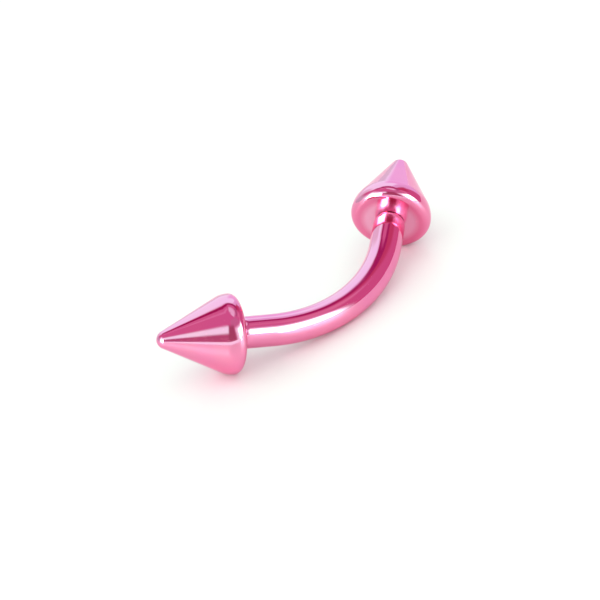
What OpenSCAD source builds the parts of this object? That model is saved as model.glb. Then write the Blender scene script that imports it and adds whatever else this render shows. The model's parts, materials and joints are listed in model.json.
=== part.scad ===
// Curved eyebrow barbell: a bent round bar with a cone screwed onto each end.
// It lies as it would by itself, on the middle of its bend and on the rims of both cones.
// X runs from the left cone to the right one, Y to the back and Z up, in millimetres.
// The origin is on the floor, under the middle of the outline.

/* [Bar] */
// Diameter of the bar, 16 gauge
bar_d = 1.2; // [1.0:0.1:1.6]
// Length for wear, straight across between the base faces of the two cones
wear_length = 8.5; // [6:0.5:12]
// Angle that the bar bends through on each side of its middle
half_bend = 34; // [25:0.5:45]
// Straight stretch between the bend and each cone
straight_len = 1.3; // [0.6:0.1:2]
// Length of the rounding at each end of the bar, where it meets its cone
end_round_len = 0.3; // [0.2:0.05:0.5]
// How much that rounding takes off the bar's radius at its end face
end_round_in = 0.07; // [0.04:0.01:0.1]

/* [Cones] */
// Diameter of each cone across its rim
cone_d = 3; // [2.5:0.1:4]
// Length of each cone from its base face to its tip
cone_len = 3.1; // [2.6:0.1:5]
// Rounding of the rim from the base face to the widest point
rim_round = 0.3; // [0.15:0.05:0.5]
// Rounding of the shoulder from the widest point to the slant
shoulder_round = 1; // [0.4:0.1:1.2]
// Rounding of the tip
tip_round = 0.35; // [0.1:0.05:0.5]

/* [Screw fit] */
// Step from the side of the bar down to the screw pin on its end
pin_step = 0.18; // [0.16:0.01:0.22]
// Chamfer at the free end of each pin
pin_chamfer = 0.1; // [0.05:0.01:0.15]
// Gap all round between a pin and the bore of its cone
bore_gap = 0.03; // [0.01:0.01:0.08]
// Gap between the end face of the bar and the base face of the cone
seat_gap = 0.02; // [0.01:0.01:0.05]
// Chamfer round the mouth of each bore
mouth_chamfer = 0.03; // [0.02:0.01:0.04]
// Space that each bore has past the end of its pin
bore_spare = 0.15; // [0.05:0.05:0.3]
// Solid metal between the full width of the bore and the tip
tip_solid = 1.35; // [1.2:0.05:1.8]
// Point angle of the drill that made the bore
drill_angle = 118; // [90:2:140]

/* [Hidden] */
$fn = 96;

metal = [0.86, 0.33, 0.58];

// Bar: radius, and radius of the bend to the centre line
bar_r = bar_d / 2;
bend_r = (wear_length / 2 - straight_len * cos(half_bend)) / sin(half_bend);

// Rounded end of the bar, along its straight stretch: where it starts, where the end face is
// and the radius of its arc, which runs smoothly out of the side of the bar
end_face = straight_len - seat_gap;
end_round_from = end_face - end_round_len;
end_arc_r = (end_round_len ^ 2 + end_round_in ^ 2) / (2 * end_round_in);

// Pin and bore, measured along the axis of the cone from its base face
pin_r = bar_r - pin_step;
bore_r = pin_r + bore_gap;
bore_depth = cone_len - tip_solid;
pin_end = bore_depth - bore_spare;
drill_point = bore_r / tan(drill_angle / 2);

// Cone outline: the rim circle meets the shoulder circle at the widest point,
// and the slant touches the shoulder circle and the tip circle
cone_r = cone_d / 2;
rim_ring_r = cone_r - rim_round;
shoulder_ring_r = cone_r - shoulder_round;
tip_centre = cone_len - tip_round;
slant_run = norm([shoulder_ring_r, tip_centre - rim_round]);
slant_normal = atan2(tip_centre - rim_round, -shoulder_ring_r)
    - acos((shoulder_round - tip_round) / slant_run);
slant_dir = [cos(slant_normal), sin(slant_normal)];

// Plane of the bend, before the barbell is laid down: the bend's centre is the origin,
// the middle of the bar is at -Y and the cones lean outwards along +Y
base_y = straight_len * sin(half_bend) - bend_r * cos(half_bend);
rim_ring_y = base_y + rim_round * sin(half_bend);
tip_y = base_y + tip_centre * sin(half_bend);

// Tilt of that plane from the floor with the bar and both rims touching the floor:
// rim_rise * s + bar_r - rim_round = rim_ring_r * sqrt(1 - (s * sin(half_bend))^2), s = sin(tilt)
rim_rise = rim_ring_y + bend_r;
tilt_a = rim_rise ^ 2 + (rim_ring_r * sin(half_bend)) ^ 2;
tilt_b = 2 * rim_rise * (bar_r - rim_round);
tilt_c = (bar_r - rim_round) ^ 2 - rim_ring_r ^ 2;
rest_tilt = asin((sqrt(tilt_b ^ 2 - 4 * tilt_a * tilt_c) - tilt_b) / (2 * tilt_a));

// Place on the floor, with the outline centred from front to back
floor_z = -bend_r * sin(rest_tilt) - bar_r;
front_y = -bend_r * cos(rest_tilt) - bar_r;
shoulder_back_y = rim_ring_y * cos(rest_tilt) + shoulder_round
    + shoulder_ring_r * sqrt(1 - (sin(half_bend) * cos(rest_tilt)) ^ 2);
tip_back_y = tip_y * cos(rest_tilt) + tip_round;
middle_y = (front_y + max(shoulder_back_y, tip_back_y)) / 2;

// Lays the barbell down from the plane of its bend
module laid_down() {
    translate([0, -middle_y, -floor_z])
        rotate([rest_tilt, 0, 0])
            children();
}

// Puts the origin at the centre of the left cone's base face, with Z along the cone to its tip
module at_left_base() {
    rotate([0, 0, -90 - half_bend])
        translate([bend_r, -straight_len, 0])
            rotate([90, 0, 0])
                children();
}

// Half of the bend, from its left end to the middle of the bar
module half_bend_sweep() {
    intersection() {
        rotate([0, 0, -90 - half_bend])
            rotate_extrude(angle = 2 * half_bend)
                translate([bend_r, 0])
                    circle(r = bar_r);
        translate([-wear_length, -2 * bend_r, -bar_d])
            cube([wear_length, 2 * bend_r, 2 * bar_d]);
    }
}

// Half outline of the straight end of the bar, with its rounding and its screw pin
module end_outline() {
    square([bar_r, end_round_from]);
    intersection() {
        translate([0, end_round_from])
            square([bar_r, end_round_len]);
        translate([bar_r - end_arc_r, end_round_from])
            circle(r = end_arc_r);
    }
    polygon([
        [0, end_round_from],
        [pin_r, end_round_from],
        [pin_r, straight_len + pin_end - pin_chamfer],
        [pin_r - pin_chamfer, straight_len + pin_end],
        [0, straight_len + pin_end],
    ]);
}

module straight_end() {
    rotate_extrude()
        end_outline();
}

// Left half of the bar; the right half is its mirror image
module half_bar() {
    half_bend_sweep();
    rotate([0, 0, -90 - half_bend])
        translate([bend_r, 0, 0])
            rotate([90, 0, 0])
                straight_end();
}

// Half outline of a cone, with X the distance from its axis and Y along it
module cone_outline() {
    intersection() {
        square([cone_d, cone_len]);
        union() {
            polygon([
                [0, 0],
                [rim_ring_r, 0],
                [cone_r, rim_round],
                [shoulder_ring_r, rim_round] + shoulder_round * slant_dir,
                [0, tip_centre] + tip_round * slant_dir,
                [0, tip_centre],
            ]);
            translate([rim_ring_r, rim_round])
                circle(r = rim_round);
            intersection() {
                translate([shoulder_ring_r, rim_round])
                    circle(r = shoulder_round);
                translate([0, rim_round])
                    square([cone_d, cone_len]);
            }
            translate([0, tip_centre])
                circle(r = tip_round);
        }
    }
}

// Bore with its chamfered mouth and drilled end
module bore() {
    rotate_extrude()
        polygon([
            [0, -mouth_chamfer],
            [bore_r + 2 * mouth_chamfer, -mouth_chamfer],
            [bore_r, mouth_chamfer],
            [bore_r, bore_depth],
            [0, bore_depth + drill_point],
        ]);
}

// Cone with its bore
module cone() {
    difference() {
        rotate_extrude()
            cone_outline();
        bore();
    }
}

module bar() {
    color(metal)
        laid_down()
            union() {
                half_bar();
                mirror([1, 0, 0])
                    half_bar();
            }
}

module left_cone() {
    color(metal)
        laid_down()
            at_left_base()
                cone();
}

module right_cone() {
    color(metal)
        laid_down()
            mirror([1, 0, 0])
                at_left_base()
                    cone();
}

bar();
left_cone();
right_cone();
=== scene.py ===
"""Looks of a curved eyebrow barbell: mirror-polished pink metal, lying on white in soft studio light."""

import json
import math

import bpy
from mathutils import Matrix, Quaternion, Vector


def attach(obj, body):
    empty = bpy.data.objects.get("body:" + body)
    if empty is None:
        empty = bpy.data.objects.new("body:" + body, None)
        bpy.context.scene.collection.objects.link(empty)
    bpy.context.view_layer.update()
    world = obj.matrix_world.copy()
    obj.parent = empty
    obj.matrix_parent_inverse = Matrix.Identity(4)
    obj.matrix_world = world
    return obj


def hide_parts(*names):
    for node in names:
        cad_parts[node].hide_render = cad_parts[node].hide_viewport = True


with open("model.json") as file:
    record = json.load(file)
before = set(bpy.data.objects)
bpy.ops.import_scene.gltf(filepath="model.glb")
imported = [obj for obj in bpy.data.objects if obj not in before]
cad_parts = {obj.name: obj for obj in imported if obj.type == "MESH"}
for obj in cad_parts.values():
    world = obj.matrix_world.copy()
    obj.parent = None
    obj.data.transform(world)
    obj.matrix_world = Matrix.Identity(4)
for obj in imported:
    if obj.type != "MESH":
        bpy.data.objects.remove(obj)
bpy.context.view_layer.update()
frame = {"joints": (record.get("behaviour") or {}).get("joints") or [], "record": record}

mm = 0.001
joints = {joint["child"]: joint for joint in frame["joints"]}
piercing = frame["record"]["mounts"][0]

# Bar: the gauge and the length for wear are the mount's own
bar_r = piercing["dims"]["r_mm"] * mm
wear_length = piercing["dims"]["length_mm"] * mm
straight_len = 1.3 * mm
end_round_len = 0.3 * mm
end_round_in = 0.07 * mm

# Cones
cone_r = 1.5 * mm
cone_len = 3.1 * mm
rim_round = 0.3 * mm
shoulder_round = 1.0 * mm
tip_round = 0.35 * mm

# Screw fit
pin_step = 0.18 * mm
pin_chamfer = 0.1 * mm
bore_gap = 0.03 * mm
seat_gap = 0.02 * mm
mouth_chamfer = 0.03 * mm
bore_spare = 0.15 * mm
tip_solid = 1.35 * mm
drill_angle = math.radians(118)
drill_tip_r = 0.1 * mm

# Screw thread, which the CAD pins and bores leave plain. Its power is under 1, which makes its crests
# narrower than its roots.
thread_pitch = 0.225 * mm
thread_depth = 0.1 * mm
thread_power = 0.8
tap_cut = 0.03 * mm
tap_crest = 0.02 * mm

pin_r = bar_r - pin_step
bore_r = pin_r + bore_gap
bore_depth = cone_len - tip_solid
pin_end = bore_depth - bore_spare
drill_point = bore_r / math.tan(drill_angle / 2)
rim_ring_r = cone_r - rim_round
shoulder_ring_r = cone_r - shoulder_round

# The bend, from the mount and the left cone's axis. Places along the bar are measured from its middle
bar_middle = Vector(piercing["pos_m"])
left_axis = Vector(joints["left_cone"]["axis"])
half_bend = math.acos(-left_axis.x)
across = Vector((1, 0, 0))
lean = Vector((0, left_axis.y, left_axis.z)).normalized()
bend_r = (wear_length / 2 - straight_len * math.cos(half_bend)) / math.sin(half_bend)
bend_centre = bar_middle + bend_r * lean
half_arc = bend_r * half_bend
base_s = half_arc + straight_len
end_face_s = base_s - seat_gap
end_round_s = end_face_s - end_round_len
end_arc_r = (end_round_len ** 2 + end_round_in ** 2) / (2 * end_round_in)

# How finely round shapes are cut
bar_sides = 96
cone_sides = 128
arc_step = math.radians(2)
bend_step = math.radians(0.5)
thread_step = thread_pitch / 18
flat_step = 0.05 * mm
slant_step = 0.1 * mm
end_round_step = 0.015 * mm
guard_row = 0.01 * mm
crease_angle = math.radians(25)

# Colours: the coating's tone where it is thin and thick, a paler tone on the turned faces, a deeper pink on
# their edges, and the tint at a glancing look
coating_thin = (0.89, 0.28, 0.465, 1)
coating_thick = (0.87, 0.26, 0.48, 1)
face_colour = (0.93, 0.43, 0.62, 1)
edge_colour = (0.85, 0.21, 0.39, 1)
glancing_tint = (0.98, 0.84, 0.9, 1)

# Turned base faces: how far out they are pale, the width that the pale part fades over, how far up the rim
# the deeper pink of their edge reaches, and the turning tool's rings.
faced_r = 1.0 * mm
faced_fade = 0.25 * mm
edge_height = rim_round / 2
turning_step = 0.04 * mm
turning_height = 0.0002 * mm

# Polishing marks: how wide they are round the bar and along a cone, how long along the bar, and how deep
bar_hair = 0.09 * mm
cone_hair = 0.12 * mm
bar_hair_len = 2.5 * mm
hair_depth = 0.0015 * mm

# Noise in the finish: cells to the metre, the part of its values that counts, from none to full, and how
# high it makes the waves. The hairlines' own noise is scaled by the polishing marks.
cloud_scale = 700
cloud_span = (0.35, 0.65)
haze_scale = 2500
haze_span = (0.3, 0.7)
hair_span = (0.58, 0.75)
wave_scale = 900
wave_height = 0.003 * mm

# Roughness of the polish from clear to hazy, and what hairlines and turned faces add to it
polish_rough = (0.045, 0.085)
hair_rough = 0.03
faced_rough = 0.12


def spine(s):
    """Place, direction along the bar and outward normal in the bend's plane, at s along the bar."""
    turned = max(-half_bend, min(half_bend, s / bend_r))
    out = math.sin(turned) * across - math.cos(turned) * lean
    along = math.cos(turned) * across + math.sin(turned) * lean
    return bend_centre + bend_r * out + (s - turned * bend_r) * along, along, out


def ring_at(s, radius, sides, way=1):
    """Ring of points round the spine. radius is a number or a function of the angle."""
    centre, along, out = spine(s)
    up = along.cross(out)
    ring = []
    for i in range(sides):
        angle = way * math.tau * i / sides
        r = radius(angle) if callable(radius) else radius
        ring.append(centre + r * (math.cos(angle) * out + math.sin(angle) * up))
    return ring


def spread(start, end, step):
    """Evenly spaced values from start to end, at most step apart."""
    # The slack keeps a rounding error from adding a step
    slack = 1e-6
    count = max(1, math.ceil(abs(end - start) / step - slack))
    return [start + (end - start) * i / count for i in range(count + 1)]


def arc(centre, radius, start, end):
    """Points of an arc, as (distance from the axis, place along it)."""
    return [
        (centre[0] + radius * math.cos(a), centre[1] + radius * math.sin(a))
        for a in spread(start, end, arc_step)
    ]


def line(start, end, step):
    """Points of a straight line with a short row next to each end, where it meets an arc or an edge."""
    length = math.dist(start, end)
    guard = min(guard_row, length / 4)
    shares = [0, *(s / length for s in spread(guard, length - guard, step)), 1]
    return [tuple(a + (b - a) * t for a, b in zip(start, end)) for t in shares]


def skin(name, rings, first_end, last_end, grain, marks=None):
    """Closed mesh object over rings of points, each end closed by a fan round its own point.

    grain gives each ring's place in the polishing marks: (along the axis, how far round counts).
    marks gives named numbers for the material, one for each ring.
    """
    sides = len(rings[0])
    points = [p for ring in rings for p in ring] + [first_end, last_end]
    first, last = len(points) - 2, len(points) - 1
    top = (len(rings) - 1) * sides
    faces = []
    for i in range(sides):
        j = (i + 1) % sides
        faces.append((first, j, i))
        faces.append((top + i, top + j, last))
        for ring in range(0, top, sides):
            faces.append((ring + i, ring + j, ring + sides + j, ring + sides + i))
    mesh = bpy.data.meshes.new(name)
    mesh.from_pydata(points, [], faces)

    turns = [math.tau * i / sides for i in range(sides)]
    places = [(along, far * math.cos(a), far * math.sin(a)) for along, far in grain for a in turns]
    places += [places[0], places[-1]]
    grain_data = mesh.attributes.new("grain", "FLOAT_VECTOR", "POINT").data
    grain_data.foreach_set("vector", [value for place in places for value in place])
    for mark, values in (marks or {}).items():
        all_values = [value for value in values for _ in range(sides)] + [values[0], values[-1]]
        mesh.attributes.new(mark, "FLOAT", "POINT").data.foreach_set("value", all_values)

    mesh.shade_smooth()
    mesh.set_sharp_from_angle(angle=crease_angle)
    piece = bpy.data.objects.new(name, mesh)
    bpy.context.scene.collection.objects.link(piece)
    return piece


def thread_fall(s, angle):
    """0 on the crest of a right-handed screw thread and 1 at its root."""
    phase = s / thread_pitch - angle / math.tau
    return (0.5 - 0.5 * math.cos(math.tau * phase)) ** thread_power


def pin_radius(s):
    """Radius of the threaded pin as a function of the angle, plain at its neck and chamfered at its end."""
    past = abs(s) - base_s
    cut = thread_depth * min(1, max(0, 2 * past / thread_pitch))
    chamfer = pin_r - max(0, past - (pin_end - pin_chamfer))
    return lambda angle: min(chamfer, pin_r - cut * thread_fall(s, angle))


def tapped_radius(s):
    """Radius of the tapped bore as a function of the angle, plain at its mouth and at its end."""
    deep = abs(s) - base_s
    full = min(1, max(0, (deep - mouth_chamfer) / thread_pitch), max(0, (pin_end - deep) / thread_pitch))
    root = bore_r + tap_cut * full
    height = (tap_cut + tap_crest) * full
    return lambda angle: root - height * thread_fall(s, angle)


def end_radius(s):
    """Radius of the bar's rounded end."""
    return bar_r - end_arc_r + math.sqrt(end_arc_r ** 2 - (s - end_round_s) ** 2)


def make_bar():
    """The bar in one skin: both threaded pins, both rounded ends and the bend."""
    half = [(s, bar_r) for s in spread(0, half_arc, bend_r * bend_step)]
    half += [(s, bar_r) for s in spread(half_arc, end_round_s, slant_step)[1:]]
    half += [(s, end_radius(s)) for s in spread(end_round_s, end_face_s, end_round_step)[1:]]
    half += [(end_face_s, r) for _, r in line((0, bar_r - end_round_in), (0, pin_r), flat_step)[1:]]
    half += [(s, None) for s in spread(end_face_s, base_s + pin_end, thread_step)[1:]]
    rows = [(-s, r) for s, r in reversed(half[1:])] + half
    rings = [ring_at(s, pin_radius(s) if r is None else r, bar_sides) for s, r in rows]
    grain = [(s / bar_hair_len, (r or pin_r) / bar_hair) for s, r in rows]
    return skin("bar_threaded", rings, spine(rows[0][0])[0], spine(rows[-1][0])[0], grain)


def bore_outline():
    """Half outline of the bore from its drilled end to its mouth. The tapped wall's radius is left open."""
    drilled_to = bore_depth + drill_point * (1 - drill_tip_r / bore_r)
    drilled = line((drill_tip_r, drilled_to), (bore_r, bore_depth), flat_step)
    return drilled + [(None, t) for t in spread(bore_depth, mouth_chamfer, thread_step)[1:]]


def cone_outline():
    """Half outline of the cone's outside from the bore's mouth to the tip, without the tip's own point."""
    tip_centre = cone_len - tip_round
    run = math.dist((shoulder_ring_r, rim_round), (0, tip_centre))
    lean_in = math.atan2(tip_centre - rim_round, -shoulder_ring_r)
    slope = lean_in - math.acos((shoulder_round - tip_round) / run)
    base = line((bore_r + mouth_chamfer, 0), (rim_ring_r, 0), flat_step)
    rim = arc((rim_ring_r, rim_round), rim_round, -math.pi / 2, 0)
    shoulder = arc((shoulder_ring_r, rim_round), shoulder_round, 0, slope)
    tip = arc((0, tip_centre), tip_round, slope, math.pi / 2)
    slant = line(shoulder[-1], tip[0], slant_step)
    return base + rim[1:] + shoulder[1:] + slant[1:] + tip[1:-1]


def turned_share(r, t):
    """How much of the turned face shows at this place on a cone's outside: its paler tone, duller polish and
    rings.
    """
    return min(1.0, max(0.0, (faced_r - r) / faced_fade + 0.5)) if t == 0 else 0.0


def make_cone(name, side):
    """A cone with its tapped bore. side is -1 for the left end of the bar and 1 for the right end."""
    inside = bore_outline()
    outside = cone_outline()
    rings = []
    grain = []
    ring_r = []
    for r, t in inside + outside:
        s = side * (base_s + t)
        rings.append(ring_at(s, tapped_radius(s) if r is None else r, cone_sides, side))
        ring_r.append(r or bore_r)
        grain.append(((t + ring_r[-1]) / cone_hair, 1.0))
    unmarked = [0.0] * len(inside)
    marks = {
        "faced": unmarked + [turned_share(r, t) for r, t in outside],
        "edged": unmarked + [max(0.0, 1 - t / edge_height) for _, t in outside],
        "ring": ring_r,
    }
    drilled_to = spine(side * (base_s + bore_depth + drill_point))[0]
    tip = spine(side * (base_s + cone_len))[0]
    return skin(name, rings, drilled_to, tip, grain, marks)


def node(tree, kind, inputs=None, **settings):
    """A shader node with its inputs: a value, or a socket to link from."""
    made = tree.nodes.new(kind)
    for key, value in settings.items():
        setattr(made, key, value)
    for key, value in (inputs or {}).items():
        if isinstance(value, bpy.types.NodeSocket):
            tree.links.new(value, made.inputs[key])
        else:
            made.inputs[key].default_value = value
    return made


def new_material(name):
    """Empty node material and its tree."""
    material = bpy.data.materials.new(name)
    material.use_nodes = True
    material.node_tree.nodes.clear()
    return material, material.node_tree


def math_node(tree, operation, first, second=0.0, third=0.0):
    """Output of a math node."""
    return node(tree, "ShaderNodeMath", {0: first, 1: second, 2: third}, operation=operation).outputs[0]


def mix_colour(tree, share, first, second):
    """Mix of two colours."""
    return node(tree, "ShaderNodeMix", {0: share, 6: first, 7: second}, data_type="RGBA").outputs[2]


def map_range(tree, value, taken, given):
    """Output of a map range node from the range taken to the range given, which stays between its ends."""
    return node(tree, "ShaderNodeMapRange", {
        "Value": value,
        "From Min": taken[0],
        "From Max": taken[1],
        "To Min": given[0],
        "To Max": given[1],
    }).outputs[0]


def noise(tree, place, scale, detail):
    """Output of a noise node."""
    return node(tree, "ShaderNodeTexNoise", {"Vector": place, "Scale": scale, "Detail": detail}).outputs[0]


def mesh_mark(tree, name, output="Fac"):
    """What the mesh holds under this name."""
    return node(tree, "ShaderNodeAttribute", attribute_name=name).outputs[output]


def pink_metal():
    """Mirror-polished steel under a thin pink coating, with turned base faces on the cones."""
    material, tree = new_material("pink_metal")
    place = node(tree, "ShaderNodeTexCoord").outputs["Object"]
    faced = mesh_mark(tree, "faced")
    edged = mesh_mark(tree, "edged")

    # Thickness of the coating, which shifts the pink a little, then a deeper pink at the base faces' edges
    # and a paler tone on the turned faces
    tone = map_range(tree, noise(tree, place, cloud_scale, detail=2), cloud_span, (0, 1))
    colour = mix_colour(tree, tone, coating_thin, coating_thick)
    colour = mix_colour(tree, edged, colour, edge_colour)
    colour = mix_colour(tree, faced, colour, face_colour)

    # Polish: a soft haze with fine hairlines, duller on the base faces
    hairs = noise(tree, mesh_mark(tree, "grain", "Vector"), scale=1, detail=3)
    haze = map_range(tree, noise(tree, place, haze_scale, detail=4), haze_span, polish_rough)
    rough = math_node(tree, "ADD", haze, map_range(tree, hairs, hair_span, (0, hair_rough)))
    rough = math_node(tree, "ADD", rough, math_node(tree, "MULTIPLY", faced, faced_rough))

    # Hairlines and slight waves that polishing leaves, and the turning tool's rings on the base faces
    waves = math_node(tree, "MULTIPLY", noise(tree, place, wave_scale, detail=1), wave_height)
    strokes = math_node(tree, "MULTIPLY", hairs, hair_depth)
    turns = math_node(tree, "MULTIPLY", mesh_mark(tree, "ring"), math.tau / turning_step)
    turning = math_node(tree, "MULTIPLY", math_node(tree, "SINE", turns), faced)
    turning = math_node(tree, "MULTIPLY", turning, turning_height)
    height = math_node(tree, "ADD", math_node(tree, "ADD", strokes, waves), turning)
    bump = node(tree, "ShaderNodeBump", {"Height": height, "Distance": 1.0, "Strength": 1.0})

    shader = node(tree, "ShaderNodeBsdfPrincipled", {
        "Base Color": colour,
        "Metallic": 1.0,
        "Roughness": rough,
        "Specular Tint": glancing_tint,
        "Normal": bump.outputs[0],
    })
    node(tree, "ShaderNodeOutputMaterial", {"Surface": shader.outputs[0]})
    return material


def make_floor():
    """Plain white floor."""
    half_size = 3.0
    mesh = bpy.data.meshes.new("floor")
    corners = [(half_size * x, half_size * y, 0) for x, y in ((-1, -1), (1, -1), (1, 1), (-1, 1))]
    mesh.from_pydata(corners, [], [(0, 1, 2, 3)])
    floor = bpy.data.objects.new("floor", mesh)
    bpy.context.scene.collection.objects.link(floor)
    material, tree = new_material("floor_white")
    shader = node(tree, "ShaderNodeBsdfPrincipled", {
        "Base Color": (0.9, 0.9, 0.9, 1),
        "Roughness": 0.4,
        "Specular IOR Level": 0.3,
    })
    node(tree, "ShaderNodeOutputMaterial", {"Surface": shader.outputs[0]})
    mesh.materials.append(material)


def make_camera():
    """Long-lens camera at the photograph's angle."""
    aim = Vector((-0.852, 0.318, 0.834)) * mm
    turn = math.radians(40.64)
    rise = math.radians(29.03)
    roll = math.radians(13.8)
    distance = 314.6 * mm
    back = Vector((-math.sin(turn) * math.cos(rise), -math.cos(turn) * math.cos(rise), math.sin(rise)))
    camera = bpy.data.objects.new("camera", bpy.data.cameras.new("camera"))
    bpy.context.scene.collection.objects.link(camera)
    camera.data.sensor_width = 36
    camera.data.lens = 511
    camera.data.clip_start = 0.01
    camera.data.clip_end = 10
    camera.location = aim + distance * back
    camera.rotation_mode = "QUATERNION"
    camera.rotation_quaternion = (-back).to_track_quat("-Z", "Y") @ Quaternion((0, 0, 1), -roll)
    bpy.context.scene.camera = camera


# Light by direction in the studio, painted in this order, later rows over earlier ones. Degrees: azimuth
# runs clockwise from the back (+Y) and elevation up from the floor. A light of 1 shows as white.
ambient = (0.71, 0.29, 0.5)
soft_boxes = (
    # name, azimuth, elevation, width, height, soft edge, light
    ("overhead glow", 0, 75, 70, 6, 4, (0.8, 0.5, 0.68)),
    ("overhead, right", 110, 78, 132, 16, 8, (0.92, 1.25, 1.15)),
    ("far left", 326, 4, 58, 42, 18, (0.66, 1.0, 0.88)),
    ("backdrop", 40, 14, 100, 78, 10, (1.05, 1.95, 1.72)),
    ("backdrop, left side", 2, 24, 26, 36, 8, (0.88, 1.35, 1.2)),
    ("backdrop, right side", 82, 20, 28, 66, 8, (0.9, 1.05, 1.2)),
    ("backdrop, low right", 59, 9, 24, 40, 8, (0.99, 1.15, 1.36)),
    ("back sweep", 16, 0, 60, 14, 3, (0.82, 1.25, 1.15)),
    ("right side", 121, 29, 62, 60, 3, (0.68, 0.23, 0.42)),
    ("right side, inner", 98, 46, 26, 30, 12, (0.58, 0.12, 0.24)),
    ("right side, upper", 136, 50, 30, 18, 8, (0.78, 0.45, 0.58)),
    ("gap, behind", 14, 60.5, 46, 9, 2, (0.4, 0.02, 0.17)),
    ("gap, right", 71, 57, 76, 6, 3, (0.4, 0.03, 0.2)),
    ("gap, far right", 125, 64, 60, 6, 4, (0.5, 0.25, 0.38)),
    ("front box", 180, 14, 58, 56, 12, (0.98, 1.55, 1.3)),
    ("front box middle", 175, 13, 46, 48, 14, (1.08, 2.6, 1.8)),
    ("front box core", 174, 21, 38, 24, 12, (7.0, 10.0, 8.0)),
    ("front box, low end", 190, 2, 12, 22, 5, (8.0, 8.0, 8.0)),
    ("over the camera", 196, 57, 60, 22, 6, (0.64, 0.38, 0.52)),
    ("camera side", 229, 30, 38, 44, 14, (0.42, 0.17, 0.25)),
    ("left box", 274, 41, 62, 20, 10, (1.05, 2.1, 1.65)),
    ("left box core", 274, 14, 38, 38, 6, (12.0, 16.0, 12.0)),
    ("left box, far side", 294, 10, 18, 44, 14, (1.1, 2.0, 1.7)),
    ("low card", 222, 0.5, 58, 16, 1.5, (1.12, 1.9, 1.62)),
)
floor_light = (1.18, 1.24, 1.18, 1)
backdrop_seen = (1, 1, 1, 1)


def inside_span(tree, angle, middle, size, soft):
    """1 where an angle in degrees is inside a span, 0 outside it, with a soft edge."""
    off = math_node(tree, "WRAP", math_node(tree, "SUBTRACT", angle, middle), 180, -180)
    return node(tree, "ShaderNodeMapRange", {
        "Value": math_node(tree, "ABSOLUTE", off),
        "From Min": (size + soft) / 2,
        "From Max": (size - soft) / 2,
    }, interpolation_type="SMOOTHSTEP").outputs[0]


def make_light():
    """Studio of soft boxes as the world, by direction alone, which the metal mirrors.

    The floor is lit evenly instead, and the camera sees plain white past it.
    """
    world = bpy.data.worlds.new("studio")
    bpy.context.scene.world = world
    world.use_nodes = True
    world.cycles.sampling_method = "NONE"
    tree = world.node_tree
    tree.nodes.clear()
    direction = node(tree, "ShaderNodeTexCoord").outputs["Generated"]
    x, y, z = node(tree, "ShaderNodeSeparateXYZ", {0: direction}).outputs
    azimuth = math_node(tree, "DEGREES", math_node(tree, "ARCTAN2", x, y))
    elevation = math_node(tree, "DEGREES", math_node(tree, "ARCSINE", z))
    colour = [*ambient, 1]
    for _, box_azimuth, box_elevation, width, height, soft, light in soft_boxes:
        sideways = inside_span(tree, azimuth, box_azimuth, width, soft)
        upright = inside_span(tree, elevation, box_elevation, height, soft)
        colour = mix_colour(tree, math_node(tree, "MULTIPLY", sideways, upright), colour, [*light, 1])
    ray = node(tree, "ShaderNodeLightPath").outputs
    colour = mix_colour(tree, ray["Is Diffuse Ray"], colour, floor_light)
    colour = mix_colour(tree, ray["Is Camera Ray"], colour, backdrop_seen)
    background = node(tree, "ShaderNodeBackground", {"Color": colour})
    node(tree, "ShaderNodeOutputWorld", {"Surface": background.outputs[0]})
    bpy.context.scene.view_settings.view_transform = "Standard"


metal = pink_metal()
pieces = {
    "bar": make_bar(),
    "left_cone": make_cone("left_cone_tapped", -1),
    "right_cone": make_cone("right_cone_tapped", 1),
}
for cad_node, piece in pieces.items():
    piece.data.materials.append(metal)
    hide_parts(cad_node)
    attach(piece, cad_node)

make_floor()
make_camera()
make_light()
